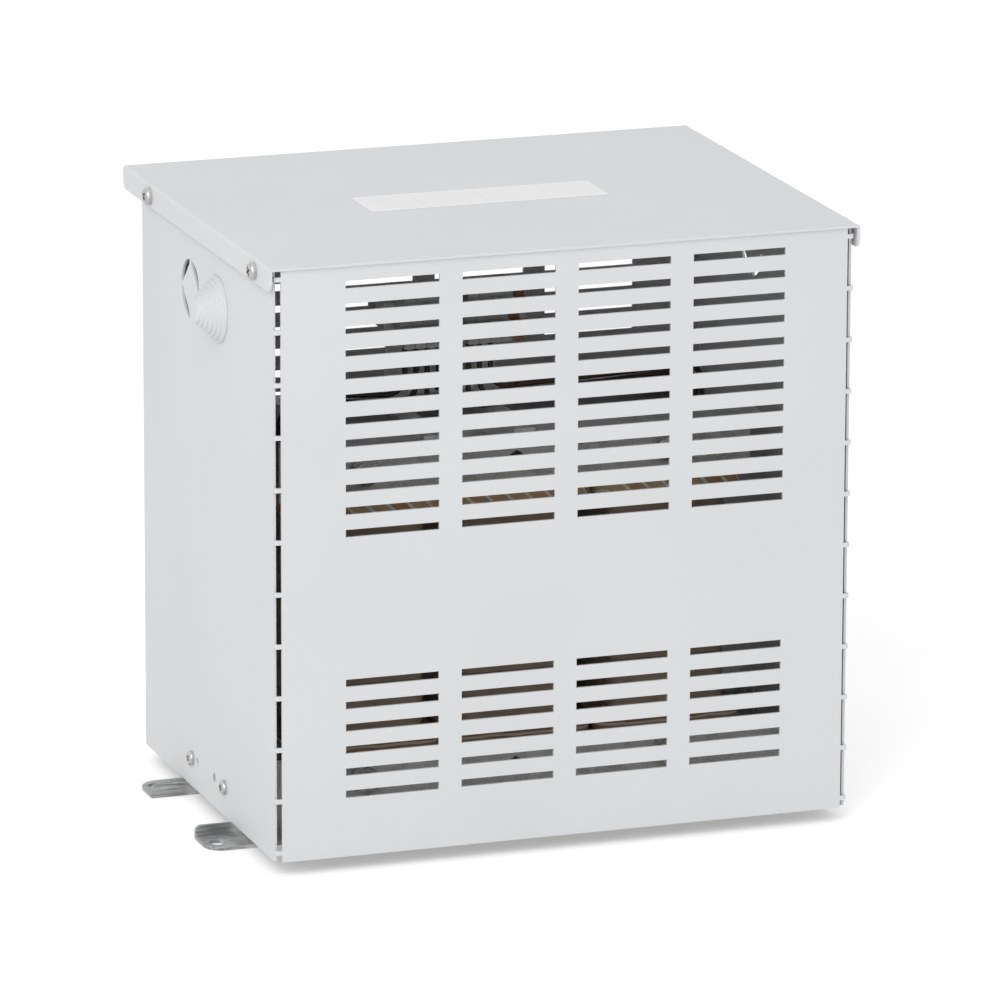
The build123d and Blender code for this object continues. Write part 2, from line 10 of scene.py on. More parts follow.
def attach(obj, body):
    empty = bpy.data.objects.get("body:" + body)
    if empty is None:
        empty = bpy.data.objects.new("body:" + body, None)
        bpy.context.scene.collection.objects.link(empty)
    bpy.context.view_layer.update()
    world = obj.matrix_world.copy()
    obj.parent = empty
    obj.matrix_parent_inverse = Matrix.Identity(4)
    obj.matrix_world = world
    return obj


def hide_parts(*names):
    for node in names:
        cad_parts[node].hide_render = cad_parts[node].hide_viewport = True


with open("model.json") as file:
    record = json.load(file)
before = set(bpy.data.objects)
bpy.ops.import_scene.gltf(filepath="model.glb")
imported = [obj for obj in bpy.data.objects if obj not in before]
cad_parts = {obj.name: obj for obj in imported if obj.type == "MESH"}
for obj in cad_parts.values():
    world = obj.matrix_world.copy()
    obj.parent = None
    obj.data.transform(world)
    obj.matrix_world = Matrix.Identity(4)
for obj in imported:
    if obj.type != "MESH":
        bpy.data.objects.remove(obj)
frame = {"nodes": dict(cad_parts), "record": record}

bl_info = {
    "name": "Isolation Transformer Dressing",
    "version": (1, 0, 0),
    "blender": (4, 5, 0),
    "location": "3D View > Sidebar > Transformer",
    "description": "Models and finishes the pieces of a ventilated isolation transformer",
    "category": "Object",
}

# One millimetre, and the gap under which two vertices are one, in metres
MM = 0.001
MERGED = 0.0005 * MM
X, Y, Z = range(3)
BODY = "root"


class Box:
    """The extent of some points, in millimetres."""

    def __init__(self, points):
        self.low = [min(point[axis] for point in points) for axis in (X, Y, Z)]
        self.high = [max(point[axis] for point in points) for axis in (X, Y, Z)]
        self.middle = [(low + high) / 2 for low, high in zip(self.low, self.high)]
        self.size = [high - low for low, high in zip(self.low, self.high)]


def points_of(piece):
    """A piece's vertices in the frame, in millimetres to the nearest thousandth."""
    places = (piece.matrix_world @ vertex.co for vertex in piece.data.vertices)
    return [tuple(round(value / MM, 3) for value in place) for place in places]


def solids(name):
    """The boxes of a node's separate solids, sorted by their middles."""
    piece = frame["nodes"][name]
    points = points_of(piece)
    groups = []
    for face in piece.data.polygons:
        whole = {points[vertex] for vertex in face.vertices}
        apart = []
        for group in groups:
            if group.isdisjoint(whole):
                apart.append(group)
            else:
                whole |= group
        groups = apart + [whole]
    return sorted((Box(group) for group in groups), key=lambda box: box.middle)


BOXES = {name: Box(points_of(piece)) for name, piece in frame["nodes"].items()}
CORE_Y = BOXES["core_stack"].middle[Y]


class Wire:
    """A shader socket that takes part in Python expressions."""

    def __init__(self, tree, socket):
        self.tree = tree
        self.socket = socket

    def maths(self, operation, *values):
        """One Math node fed by wires or numbers."""
        return node(self.tree, "ShaderNodeMath", {"operation": operation}, dict(enumerate(values)))

    def __add__(self, other):
        return self.maths("ADD", self, other)

    __radd__ = __add__

    def __sub__(self, other):
        return self.maths("SUBTRACT", self, other)

    def __rsub__(self, other):
        return self.maths("SUBTRACT", other, self)

    def __mul__(self, other):
        return self.maths("MULTIPLY", self, other)

    __rmul__ = __mul__

    def __truediv__(self, other):
        return self.maths("DIVIDE", self, other)

    def unsigned(self):
        """The value without its sign."""
        return self.maths("ABSOLUTE", self)

    def above(self, other):
        """1 where this is greater than the other value."""
        return self.maths("GREATER_THAN", self, other)

    def smooth(self, low, high):
        """A soft step from 0 to 1 between two values."""
        settings = {"interpolation_type": "SMOOTHSTEP"}
        inputs = {"Value": self, "From Min": low, "From Max": high}
        return node(self.tree, "ShaderNodeMapRange", settings, inputs)

    def fraction(self):
        """The part after the decimal point."""
        return self.maths("FRACT", self)

    def rounded_down(self):
        """The whole number below."""
        return self.maths("FLOOR", self)


def node(tree, kind, settings, inputs, output=0):
    """One output of a new shader node, whose settings are set before its sockets."""
    made = tree.nodes.new(kind)
    for key, value in settings.items():
        setattr(made, key, value)
    for key, value in inputs.items():
        socket = made.inputs[key]
        if isinstance(value, Wire):
            tree.links.new(value.socket, socket)
        else:
            socket.default_value = value
    return Wire(tree, made.outputs[output])


def mix_colours(tree, factor, first, second):
    """A colour between two, which may be wires or triples; the colour sockets have numbers only."""
    first, second = (tone if isinstance(tone, Wire) else (*tone, 1.0) for tone in (first, second))
    return node(tree, "ShaderNodeMix", {"data_type": "RGBA"}, {0: factor, 6: first, 7: second}, 2)


def object_space(tree):
    """The piece's own coordinates, in metres."""
    return node(tree, "ShaderNodeTexCoord", {}, {}, "Object")


def axes_of(tree, vector):
    """The three numbers of a vector."""
    made = tree.nodes.new("ShaderNodeSeparateXYZ")
    tree.links.new(vector.socket, made.inputs[0])
    return [Wire(tree, output) for output in made.outputs]


def noise(tree, vector, scale, detail=2.0, roughness=0.5):
    """Soft noise from 0 to 1."""
    inputs = {"Vector": vector, "Scale": scale, "Detail": detail, "Roughness": roughness}
    return node(tree, "ShaderNodeTexNoise", {}, inputs, "Fac")


def random_of(tree, number):
    """A random value from 0 to 1 for each number."""
    return node(tree, "ShaderNodeTexWhiteNoise", {"noise_dimensions": "1D"}, {"W": number}, "Value")


def stretched(tree, vector, scale):
    """Coordinates scaled unevenly, for grain."""
    return node(tree, "ShaderNodeMapping", {}, {"Vector": vector, "Scale": scale})


def bump(tree, height, distance, strength=1.0):
    """A bumped normal from a height in 0 to 1."""
    inputs = {"Height": height, "Distance": distance, "Strength": strength}
    return node(tree, "ShaderNodeBump", {}, inputs, "Normal")


def finish(name, build, **constants):
    """A material whose build function returns the varying sockets of its shader."""
    if name in bpy.data.materials:
        return bpy.data.materials[name]
    material = bpy.data.materials.new(name)
    material.use_nodes = True
    tree = material.node_tree
    shader = tree.nodes["Principled BSDF"]
    for key, value in constants.items():
        shader.inputs[key.replace("_", " ")].default_value = value
    for key, value in build(tree, object_space(tree)).items():
        tree.links.new(value.socket, shader.inputs[key])
    return material


def two_tones(colour, spread):
    """A darker and a lighter shade of a colour."""
    return [value - spread for value in colour], [value + spread for value in colour]


def paint():
    """Light grey powder coat with a fine orange-peel texture."""
    colour = bpy.context.scene.transformer_looks.paint
    dull = [value * 0.985 for value in colour]
    bright = [value * 1.01 for value in colour]

    def build(tree, place):
        cloud = noise(tree, place, 9.0, 3.0)
        speck = noise(tree, place, 900.0, 2.0)
        shade = mix_colours(tree, cloud.smooth(0.3, 0.7), dull, bright)
        shade = mix_colours(tree, speck.smooth(0.35, 0.75) * 0.03, shade, (0.5, 0.5, 0.51))
        rough = 0.42 + 0.1 * noise(tree, place, 350.0)
        peel = noise(tree, place, 620.0, 2.0) + 0.4 * noise(tree, place, 1600.0)
        return {"Base Color": shade, "Roughness": rough, "Normal": bump(tree, peel, 0.00006, 0.5)}

    return finish("case_paint", build, Specular_IOR_Level=0.4)


def galvanised():
    """Hot-dip galvanised sheet: pale spangle; the streaked feet ends outside the case are painted darker,
    as painted shade and a painted reflection of the case's dark underside.
    """
    case_side = BOXES["case_wrap"].high[X]
    # Where the painted shade on the feet's ends fades in, just inside and just past the case's side
    painted_shade_from, painted_shade_to = (case_side - 5.0) * MM, (case_side + 3.0) * MM

    def build(tree, place):
        inputs = {"Vector": place, "Scale": 130.0}
        cells = node(tree, "ShaderNodeTexVoronoi", {"feature": "F1"}, inputs, "Color")
        lean = axes_of(tree, cells)[X]
        wash = noise(tree, place, 40.0, 3.0)
        fine = noise(tree, place, 1500.0, 2.0)
        tone = lean * 0.55 + wash * 0.45
        shade = mix_colours(tree, tone, (0.5, 0.51, 0.5), (0.86, 0.87, 0.85))
        grain = noise(tree, place, 700.0, 3.0, 0.7).smooth(0.42, 0.62)
        shade = mix_colours(tree, grain * 0.4, shade, (0.95, 0.95, 0.93))
        streak = noise(tree, stretched(tree, place, (50.0, 900.0, 900.0)), 1.0, 3.0).smooth(0.32, 0.68)
        # Real streaks along the feet, painted darker here as painted shade and a painted reflection of
        # the case's dark underside
        painted_shade_streaks = mix_colours(tree, streak * 0.7 + lean * 0.3, (0.22, 0.225, 0.225), (0.62, 0.63, 0.63))
        across = axes_of(tree, place)[X]
        outside = across.unsigned().smooth(painted_shade_from, painted_shade_to)
        shade = mix_colours(tree, outside, shade, painted_shade_streaks)
        rough = 0.4 + 0.2 * lean + 0.06 * fine
        metal = 0.3 + 0.45 * outside
        relief = bump(tree, fine + streak * outside, 0.00004, 0.5)
        return {"Base Color": shade, "Roughness": rough, "Metallic": metal, "Normal": relief}

    return finish("galvanised_sheet", build)


def zinc():
    """Bright zinc plate on screws, bolts and washers."""

    def build(tree, place):
        wash = noise(tree, place, 260.0, 3.0)
        fine = noise(tree, place, 2600.0, 2.0)
        shade = mix_colours(tree, wash, (0.4, 0.4, 0.39), (0.7, 0.7, 0.68))
        rough = 0.16 + 0.16 * wash
        return {"Base Color": shade, "Roughness": rough, "Normal": bump(tree, fine, 0.00002, 0.4)}

    return finish("zinc_plate", build, Metallic=0.95)


def laminations():
    """Varnished edges of thin electrical sheets, stacked front to back."""
    sheet = 0.5 * MM

    def build(tree, place):
        depth = axes_of(tree, place)[Y]
        step = depth / sheet
        groove = (step.fraction() - 0.5).unsigned().smooth(0.34, 0.5)
        tone = random_of(tree, step.rounded_down())
        wash = noise(tree, place, 30.0, 4.0)
        shade = mix_colours(tree, tone * 0.6 + wash * 0.4, (0.045, 0.045, 0.05), (0.13, 0.125, 0.12))
        shade = mix_colours(tree, groove * 0.7, shade, (0.012, 0.012, 0.014))
        relief = bump(tree, 1.0 - groove, 0.00012)
        return {"Base Color": shade, "Roughness": 0.38 + 0.2 * wash, "Normal": relief}

    return finish("core_laminations", build, Metallic=0.5)


def board():
    """Tan pressboard with fine fibres."""

    def build(tree, place):
        fibre = noise(tree, stretched(tree, place, (300.0, 300.0, 60.0)), 1.0, 4.0)
        wash = noise(tree, place, 60.0, 2.0)
        shade = mix_colours(tree, fibre * 0.6 + wash * 0.4, (0.3, 0.19, 0.1), (0.52, 0.38, 0.22))
        relief = bump(tree, fibre, 0.0001, 0.5)
        return {"Base Color": shade, "Roughness": 0.7 + 0.15 * fibre, "Normal": relief}

    return finish("pressboard", build)


def winding_paper():
    """Varnished brown winding paper, in overlapping horizontal wraps."""
    paper_width = bpy.context.scene.transformer_sizes.paper_width

    def build(tree, place):
        height = axes_of(tree, place)[Z]
        wrap = (height / paper_width).fraction()
        edge = wrap.smooth(0.0, 0.05)
        wash = noise(tree, place, 45.0, 4.0)
        fibre = noise(tree, stretched(tree, place, (60.0, 60.0, 500.0)), 1.0, 3.0)
        shade = mix_colours(tree, wash * 0.6 + fibre * 0.4, (0.2, 0.155, 0.11), (0.5, 0.42, 0.32))
        shade = mix_colours(tree, edge, (0.06, 0.042, 0.03), shade)
        relief = bump(tree, wrap + 0.2 * fibre, 0.0003)
        return {"Base Color": shade, "Roughness": 0.3 + 0.25 * wash, "Normal": relief}

    return finish("winding_paper", build)


def end_tape():
    """Cotton tape wound slantwise round the end turns: tan and salmon wraps between pale edges."""
    tape_width = bpy.context.scene.transformer_sizes.tape_width

    def build(tree, place):
        x, y, z = axes_of(tree, place)
        run = (x + y + z) / tape_width
        wrap = run.fraction()
        tint = random_of(tree, run.rounded_down())
        weave = noise(tree, place, 1400.0, 2.0)
        wash = noise(tree, place, 70.0, 3.0)
        body = mix_colours(tree, tint, (0.62, 0.32, 0.17), (0.78, 0.64, 0.4))
        body = mix_colours(tree, wash * 0.5, body, (0.42, 0.22, 0.12))
        band = wrap.smooth(0.76, 0.8) * (1.0 - wrap.smooth(0.96, 1.0))
        shade = mix_colours(tree, band, body, (0.9, 0.86, 0.74))
        relief = bump(tree, wrap * 0.6 + band * 0.4 + weave * 0.15, 0.0004)
        return {"Base Color": shade, "Roughness": 0.55 + 0.2 * weave, "Normal": relief}

    return finish("end_tape", build)


def lower_tape():
    """Plain brown varnished tape with one pale wavy cord along it."""
    wrap_width = 9.0 * MM
    cord_height = (BOXES["lower_collars"].low[Z] + 6.0) * MM
    sway = 3.0 * MM

    def build(tree, place):
        x, y, z = axes_of(tree, place)
        run = (x + y) / wrap_width
        wave = noise(tree, place, 55.0, 2.0) * sway
        line = z + wave - cord_height
        cord = 1.0 - line.unsigned().smooth(0.45 * MM, 0.8 * MM)
        wash = noise(tree, place, 70.0, 3.0)
        weave = noise(tree, place, 1400.0, 2.0)
        body = mix_colours(tree, wash, (0.2, 0.125, 0.08), (0.42, 0.28, 0.19))
        shade = mix_colours(tree, cord, body, (0.62, 0.56, 0.45))
        relief = bump(tree, run.fraction() * 0.6 + cord * 0.4 + weave * 0.15, 0.0003)
        return {"Base Color": shade, "Roughness": 0.5 + 0.2 * weave, "Normal": relief}

    return finish("lower_tape", build)


def terminal_plastic():
    """Light grey moulded polyamide."""
    dull, bright = two_tones(bpy.context.scene.transformer_looks.terminals, 0.05)

    def build(tree, place):
        wash = noise(tree, place, 120.0, 3.0)
        fine = noise(tree, place, 2200.0, 2.0)
        shade = mix_colours(tree, wash, dull, bright)
        relief = bump(tree, fine, 0.00003, 0.5)
        return {"Base Color": shade, "Roughness": 0.42 + 0.12 * fine, "Normal": relief}

    return finish("terminal_plastic", build)


def brown_plastic():
    """Orange-brown moulded polyamide of the end terminal."""

    def build(tree, place):
        wash = noise(tree, place, 120.0, 3.0)
        fine = noise(tree, place, 2200.0, 2.0)
        shade = mix_colours(tree, wash, (0.3, 0.15, 0.08), (0.38, 0.2, 0.11))
        relief = bump(tree, fine, 0.00003, 0.5)
        return {"Base Color": shade, "Roughness": 0.42 + 0.12 * fine, "Normal": relief}

    return finish("brown_plastic", build)


def grommet_rubber():
    """Light grey soft moulding."""
    dull, bright = two_tones(bpy.context.scene.transformer_looks.grommet, 0.045)

    def build(tree, place):
        wash = noise(tree, place, 90.0, 3.0)
        fine = noise(tree, place, 1800.0, 2.0)
        shade = mix_colours(tree, wash, dull, bright)
        relief = bump(tree, fine, 0.00004, 0.6)
        return {"Base Color": shade, "Roughness": 0.5 + 0.14 * fine, "Normal": relief}

    return finish("grommet_rubber", build)


def plate():
    """Bare white polyester plate with faint ruled fields."""
    dull, bright = two_tones(bpy.context.scene.transformer_looks.plate, 0.025)
    box = BOXES["rating_label"]
    left, right = (box.low[X] + 5.0) * MM, (box.high[X] - 5.0) * MM
    bottom, top = (box.low[Y] + 5.25) * MM, (box.high[Y] - 5.35) * MM
    row_height = 6.0 * MM
    column_width = 35.5

    def build(tree, place):
        x, y, _ = axes_of(tree, place)
        fine = noise(tree, place, 1500.0, 2.0)
        wash = noise(tree, place, 50.0, 2.0)
        shade = mix_colours(tree, wash, dull, bright)
        rows = ((y - box.middle[Y] * MM) / row_height).fraction()
        inside = x.above(left) * (right - x).above(0.0) * y.above(bottom) * (top - y).above(0.0)
        rule = (1.0 - rows.smooth(0.03, 0.06)) * inside
        for column in (-1, 0, 1):
            off = x - (box.middle[X] + column * column_width) * MM
            line = (1.0 - off.unsigned().smooth(0.1 * MM, 0.2 * MM)) * inside
            rule = rule.maths("MAXIMUM", rule, line)
        shade = mix_colours(tree, rule * 0.5, shade, (0.45, 0.45, 0.46))
        relief = bump(tree, wash, 0.00005, 0.4)
        return {"Base Color": shade, "Roughness": 0.32 + 0.1 * fine, "Normal": relief}

    return finish("bare_plate", build)


def lead_sheath(name, dark, light):
    """Smooth insulation with a slight waviness."""

    def build(tree, place):
        wash = noise(tree, place, 160.0, 3.0)
        fine = noise(tree, place, 1800.0, 2.0)
        shade = mix_colours(tree, wash, dark, light)
        relief = bump(tree, wash, 0.0001, 0.4)
        return {"Base Color": shade, "Roughness": 0.32 + 0.15 * fine, "Normal": relief}

    return finish(name, build)


def black_sheath():
    """Black lead insulation."""
    return lead_sheath("black_lead", (0.012, 0.012, 0.013), (0.03, 0.03, 0.032))


def brown_sheath():
    """Dark brown lead insulation."""
    return lead_sheath("brown_lead", (0.05, 0.028, 0.02), (0.1, 0.058, 0.04))


FINISHES = {
    "paint": paint,
    "galvanised": galvanised,
    "zinc": zinc,
    "laminations": laminations,
    "board": board,
    "winding": winding_paper,
    "tape": end_tape,
    "terminal": terminal_plastic,
    "terminal_brown": brown_plastic,
    "grommet": grommet_rubber,
    "label": plate,
    "lead_black": black_sheath,
    "lead_brown": brown_sheath,
}


def put_finish(piece, slot):
    """Gives a piece one material, the finish of a record slot."""
    piece.data.materials.clear()
    piece.data.materials.append(FINISHES[slot]())


def select_only(pieces):
    """Selects these pieces and nothing else, the first one active."""
    if bpy.context.mode != "OBJECT":
        bpy.ops.object.mode_set(mode="OBJECT")
    bpy.ops.object.select_all(action="DESELECT")
    for piece in pieces:
        piece.select_set(True)
    if pieces:
        bpy.context.view_layer.objects.active = pieces[0]


def traced(name, points):
    """An open line of vertices through points in millimetres, extruded one after another."""
    select_only([])
    bpy.ops.mesh.primitive_plane_add(size=MM)
    line = bpy.context.object
    line.name = name
    bpy.ops.object.mode_set(mode="EDIT")
    bpy.ops.mesh.select_mode(type="VERT")
    bpy.ops.mesh.select_all(action="SELECT")
    bpy.ops.mesh.merge(type="CENTER")
    here = Vector(points[0]) * MM
    bpy.ops.transform.translate(value=here)
    for point in points[1:]:
        there = Vector(point) * MM
        bpy.ops.mesh.extrude_region_move(TRANSFORM_OT_translate={"value": there - here})
        here = there
    bpy.ops.object.mode_set(mode="OBJECT")
    return line


def turned(name, profile, steps):
    """A piece spun about Z from radii and heights in millimetres."""
    piece = traced(name, [(radius, 0.0, height) for radius, height in profile])
    bpy.ops.object.mode_set(mode="EDIT")
    bpy.ops.mesh.select_all(action="SELECT")
    bpy.ops.mesh.remove_doubles(threshold=MERGED)
    bpy.ops.mesh.spin(steps=steps, angle=math.tau, center=(0.0, 0.0, 0.0), axis=(0.0, 0.0, 1.0))
    tidy_shell()
    return piece


def tidy_shell():
    """Merges doubles and turns all faces outwards; ends edit mode."""
    bpy.ops.mesh.select_all(action="SELECT")
    bpy.ops.mesh.remove_doubles(threshold=MERGED)
    bpy.ops.mesh.dissolve_degenerate(threshold=MERGED)
    bpy.ops.mesh.normals_make_consistent(inside=False)
    bpy.ops.object.mode_set(mode="OBJECT")


def cuboid(name, low, high):
    """A box between two corners in millimetres, as a start for a piece or a cutter."""
    low, high = Vector(low) * MM, Vector(high) * MM
    select_only([])
    bpy.ops.mesh.primitive_cube_add(size=1.0, location=(low + high) / 2)
    box = bpy.context.object
    box.name = name
    box.scale = high - low
    bpy.ops.object.transform_apply(location=True, rotation=True, scale=True)
    return box


def put(piece, matrix):
    """Moves a piece and keeps its place in its mesh."""
    piece.matrix_world = matrix
    select_only([piece])
    bpy.ops.object.transform_apply(location=True, rotation=True, scale=True)
    return piece


def copies(piece, matrices):
    """Places copies of a piece, each with its own mesh, and takes the first away."""
    made = []
    for matrix in matrices:
        select_only([piece])
        bpy.ops.object.duplicate(linked=False)
        made.append(put(bpy.context.object, matrix))
    bpy.data.objects.remove(piece)
    return made


def joined(name, pieces):
    """One object of several."""
    select_only(pieces)
    if len(pieces) > 1:
        bpy.ops.object.join()
    whole = bpy.context.object
    whole.name = name
    return whole


def carved(piece, tool, operation="DIFFERENCE"):
    """Cuts a tool out of a piece, adds it or keeps what both share; the tool is removed."""
    modifier = piece.modifiers.new("carve", "BOOLEAN")
    modifier.operation = operation
    modifier.solver = "EXACT"
    modifier.object = tool
    select_only([piece])
    bpy.ops.object.modifier_apply(modifier=modifier.name)
    bpy.data.objects.remove(tool)
    bpy.ops.object.mode_set(mode="EDIT")
    bpy.ops.mesh.select_all(action="SELECT")
    bpy.ops.mesh.remove_doubles(threshold=MERGED)
    bpy.ops.object.mode_set(mode="OBJECT")
    return piece


def softened(piece, width, segments, angle=35.0):
    """Bevels every edge sharper than an angle."""
    modifier = piece.modifiers.new("soften", "BEVEL")
    modifier.width = width * MM
    modifier.segments = segments
    modifier.limit_method = "ANGLE"
    modifier.angle_limit = math.radians(angle)
    select_only([piece])
    bpy.ops.object.modifier_apply(modifier=modifier.name)
    return piece


def shaded(piece, angle=35.0):
    """Smooth shading but for sharp edges, with the large faces kept flat."""
    select_only([piece])
    bpy.ops.object.shade_smooth_by_angle(angle=math.radians(angle))
    modifier = piece.modifiers.new("large_faces_flat", "WEIGHTED_NORMAL")
    modifier.weight = 100
    modifier.keep_sharp = True
    bpy.ops.object.modifier_apply(modifier=modifier.name)
    return piece


def mounted(piece, slot, replaced):
    """Joins a finished piece to the body in place of a node."""
    put_finish(piece, slot)
    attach(piece, BODY)
    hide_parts(replaced)
    return piece


def edged_copy(node_name, name, width):
    """A merged copy of a node's mesh, its sharp edges slightly rounded."""
    select_only([frame["nodes"][node_name]])
    bpy.ops.object.duplicate(linked=False)
    piece = bpy.context.object
    piece.name = name
    placed = piece.matrix_world.copy()
    piece.parent = None
    put(piece, placed)
    bpy.ops.object.mode_set(mode="EDIT")
    bpy.ops.mesh.select_all(action="SELECT")
    bpy.ops.mesh.remove_doubles(threshold=MERGED)
    bpy.ops.mesh.dissolve_limited(angle_limit=math.radians(1.0))
    bpy.ops.object.mode_set(mode="OBJECT")
    return shaded(softened(piece, width, segments=2, angle=40.0), angle=50.0)


def aimed(place, axis, angle):
    """A place in millimetres with the piece's own Z turned about one axis by degrees."""
    return Matrix.Translation(Vector(place) * MM) @ Matrix.Rotation(math.radians(angle), 4, axis)


def round_uprights(box, corner):
    """Rounds the upright edges of a box to a radius in millimetres."""
    select_only([box])
    bpy.ops.object.mode_set(mode="EDIT")
    bpy.ops.mesh.select_mode(type="EDGE")
    bpy.ops.mesh.select_all(action="DESELECT")
    bpy.ops.object.mode_set(mode="OBJECT")
    vertices = box.data.vertices
    for edge in box.data.edges:
        first, second = (vertices[end].co for end in edge.vertices)
        edge.select = abs(first.z - second.z) > MERGED
    bpy.ops.object.mode_set(mode="EDIT")
    bpy.ops.mesh.bevel(offset=corner * MM, segments=8, affect="EDGES")
    bpy.ops.object.mode_set(mode="OBJECT")
    return box


def rounded_frame(name, outside, former, corner):
    """A frame as large as one box, with rounded upright corners and a hole for the coil former."""
    outer = round_uprights(cuboid(name, outside.low, outside.high), corner)
    past = 5.0
    low = (former.low[X], former.low[Y], outside.low[Z] - past)
    high = (former.high[X], former.high[Y], outside.high[Z] + past)
    return carved(outer, cuboid("hole", low, high))


def along_core(boxes):
    """The moves that bring a piece made at the first of some boxes to each of them."""
    first = boxes[0].middle[X]
    return [Matrix.Translation(((box.middle[X] - first) * MM, 0.0, 0.0)) for box in boxes]


def tube(name, points, diameter, bend):
    """A round lead through points in millimetres, its corners bent to one radius."""
    line = traced(name, points)
    ends = [index for edge in line.data.edges for index in edge.vertices]
    for edge in line.data.edges:
        edge.select = False
    for vertex in line.data.vertices:
        vertex.select = ends.count(vertex.index) == 2
    bpy.ops.object.mode_set(mode="EDIT")
    bpy.ops.mesh.bevel(offset=bend * MM, segments=8, affect="VERTICES")
    bpy.ops.object.mode_set(mode="OBJECT")
    bpy.ops.object.convert(target="CURVE")
    lead = bpy.context.object
    lead.data.bevel_depth = diameter / 2 * MM
    lead.data.bevel_resolution = 4
    lead.data.use_fill_caps = True
    bpy.ops.object.convert(target="MESH")
    lead = bpy.context.object
    bpy.ops.object.mode_set(mode="EDIT")
    tidy_shell()
    return shaded(lead, angle=50.0)


def cross_head_screw(name, diameter, length, head_diameter, head_height):
    """A pan-head screw with a cross recess; its seat is at height 0 and its head points up."""
    rim, shank = head_diameter / 2, diameter / 2
    point, edge = 0.5, 0.2
    flat_share, wall_share = 0.55, 0.42
    profile = [(0.0, -length), (shank - point, -length), (shank, point - length), (shank, 0.0)]
    profile += [(rim - edge, 0.0), (rim, edge)]
    for degrees in range(0, 91, 15):
        reach = flat_share + (1.0 - flat_share) * math.cos(math.radians(degrees))
        rise = wall_share + (1.0 - wall_share) * math.sin(math.radians(degrees))
        profile.append((rim * reach, head_height * rise))
    profile.append((0.0, head_height))
    screw = turned(name, profile, steps=32)

    # The second arm of the cross is a little shallower, so that no two cut faces coincide
    arm, blade, bottom = head_diameter * 0.27, head_diameter * 0.058, head_height * 0.35
    shallower, pit_depth, over = 0.05, 0.3, head_height + 1.0
    screw = carved(screw, cuboid("recess", (-arm, -blade, bottom), (arm, blade, over)))
    low, high = (-blade, -arm, bottom + shallower), (blade, arm, over + 0.5)
    screw = carved(screw, cuboid("recess", low, high))
    pit = [(0.0, bottom - pit_depth), (arm * 0.25, bottom), (arm * 0.55, over + 1.0), (0.0, over + 1.0)]
    return shaded(carved(screw, turned("pit", pit, steps=12)))


def hex_body(name, flats, height, both_ends):
    """A hexagon from height 0 up, its corners turned off at the top or at both ends."""
    corner = flats / 2 / math.cos(math.pi / 6)
    depth, middle = height + 2.0, (0.0, 0.0, height / 2 * MM)
    select_only([])
    bpy.ops.mesh.primitive_cylinder_add(
        vertices=6, radius=corner * MM, depth=depth * MM, location=middle
    )
    body = bpy.context.object
    body.name = name
    bpy.ops.object.transform_apply(location=True, rotation=True, scale=True)
    face, slope = flats / 2 * 0.96, 0.58
    drop = (corner - face) * slope
    outside = corner + 0.02
    profile = [(0.0, 0.0), (face if both_ends else outside, 0.0), (outside, drop)]
    profile += [(outside, height - drop), (face, height), (0.0, height)]
    return carved(body, turned("turning", profile, steps=48), "INTERSECT")


def ring_washer(name, outer, inner, thickness):
    """A washer with slightly rounded rims, from height 0 up."""
    rim, bore, edge = outer / 2, inner / 2, 0.2
    profile = [(bore, 0.0), (rim - edge, 0.0), (rim, edge), (rim, thickness - edge)]
    profile += [(rim - edge, thickness), (bore, thickness), (bore, 0.0)]
    return shaded(turned(name, profile, steps=48))


def length_setting(name, description, millimetres):
    """A length that a user may change."""
    return bpy.props.FloatProperty(
        name=name, description=description, default=millimetres * MM, min=0.0, precision=5, unit="LENGTH"
    )


def colour_setting(name, description, colour):
    """A colour that a user may change."""
    return bpy.props.FloatVectorProperty(
        name=name, description=description, default=colour, min=0.0, max=1.0, subtype="COLOR"
    )


class TransformerSizes(bpy.types.PropertyGroup):
    """Sizes that a user may change; the others are measured from the frame."""

    bracket_edge: length_setting("Bracket edge", "Rounding of the feet, the clamps and the cover", 0.3)
    sheet_edge: length_setting("Sheet edge", "Rounding of the case panels", 0.15)
    moulding_edge: length_setting("Moulding edge", "Rounding of the terminals and end stops", 0.2)
    plate_corner: length_setting("Plate corner", "Corner radius of the plate on the cover", 2.0)
    coil_corner: length_setting("Coil corner", "Corner radius of the wound bodies", 8.0)
    collar_corner: length_setting("Collar corner", "Corner radius of the taped collars", 10.0)
    tape_width: length_setting("Tape width", "Width of one wrap of the upper tape", 11.0)
    paper_width: length_setting("Paper width", "Height of one wrap of the winding paper", 13.0)
    lead_diameter: length_setting("Lead diameter", "Diameter of the leads", 2.9)
    lead_bend: length_setting("Lead bend", "Radius of the leads' bends", 10.0)


class TransformerLooks(bpy.types.PropertyGroup):
    """Colours and light levels that a user may change."""

    paint: colour_setting("Paint", "Colour of the powder coat", (0.695, 0.703, 0.717))
    plate: colour_setting("Plate", "Colour of the bare plate", (0.825, 0.825, 0.835))
    grommet: colour_setting("Grommet", "Colour of the cable grommet", (0.685, 0.695, 0.705))
    terminals: colour_setting("Terminals", "Colour of the grey terminals", (0.58, 0.59, 0.58))
    world_level: bpy.props.FloatProperty(
        name="World level", description="Strength of the even light all round", default=0.73, min=0.0
    )
    key_level: bpy.props.FloatProperty(
        name="Key level", description="Power of the left lamp", default=46.0, min=0.0, subtype="POWER"
    )
    front_level: bpy.props.FloatProperty(
        name="Front level", description="Power of the front lamp", default=14.0, min=0.0, subtype="POWER"
    )


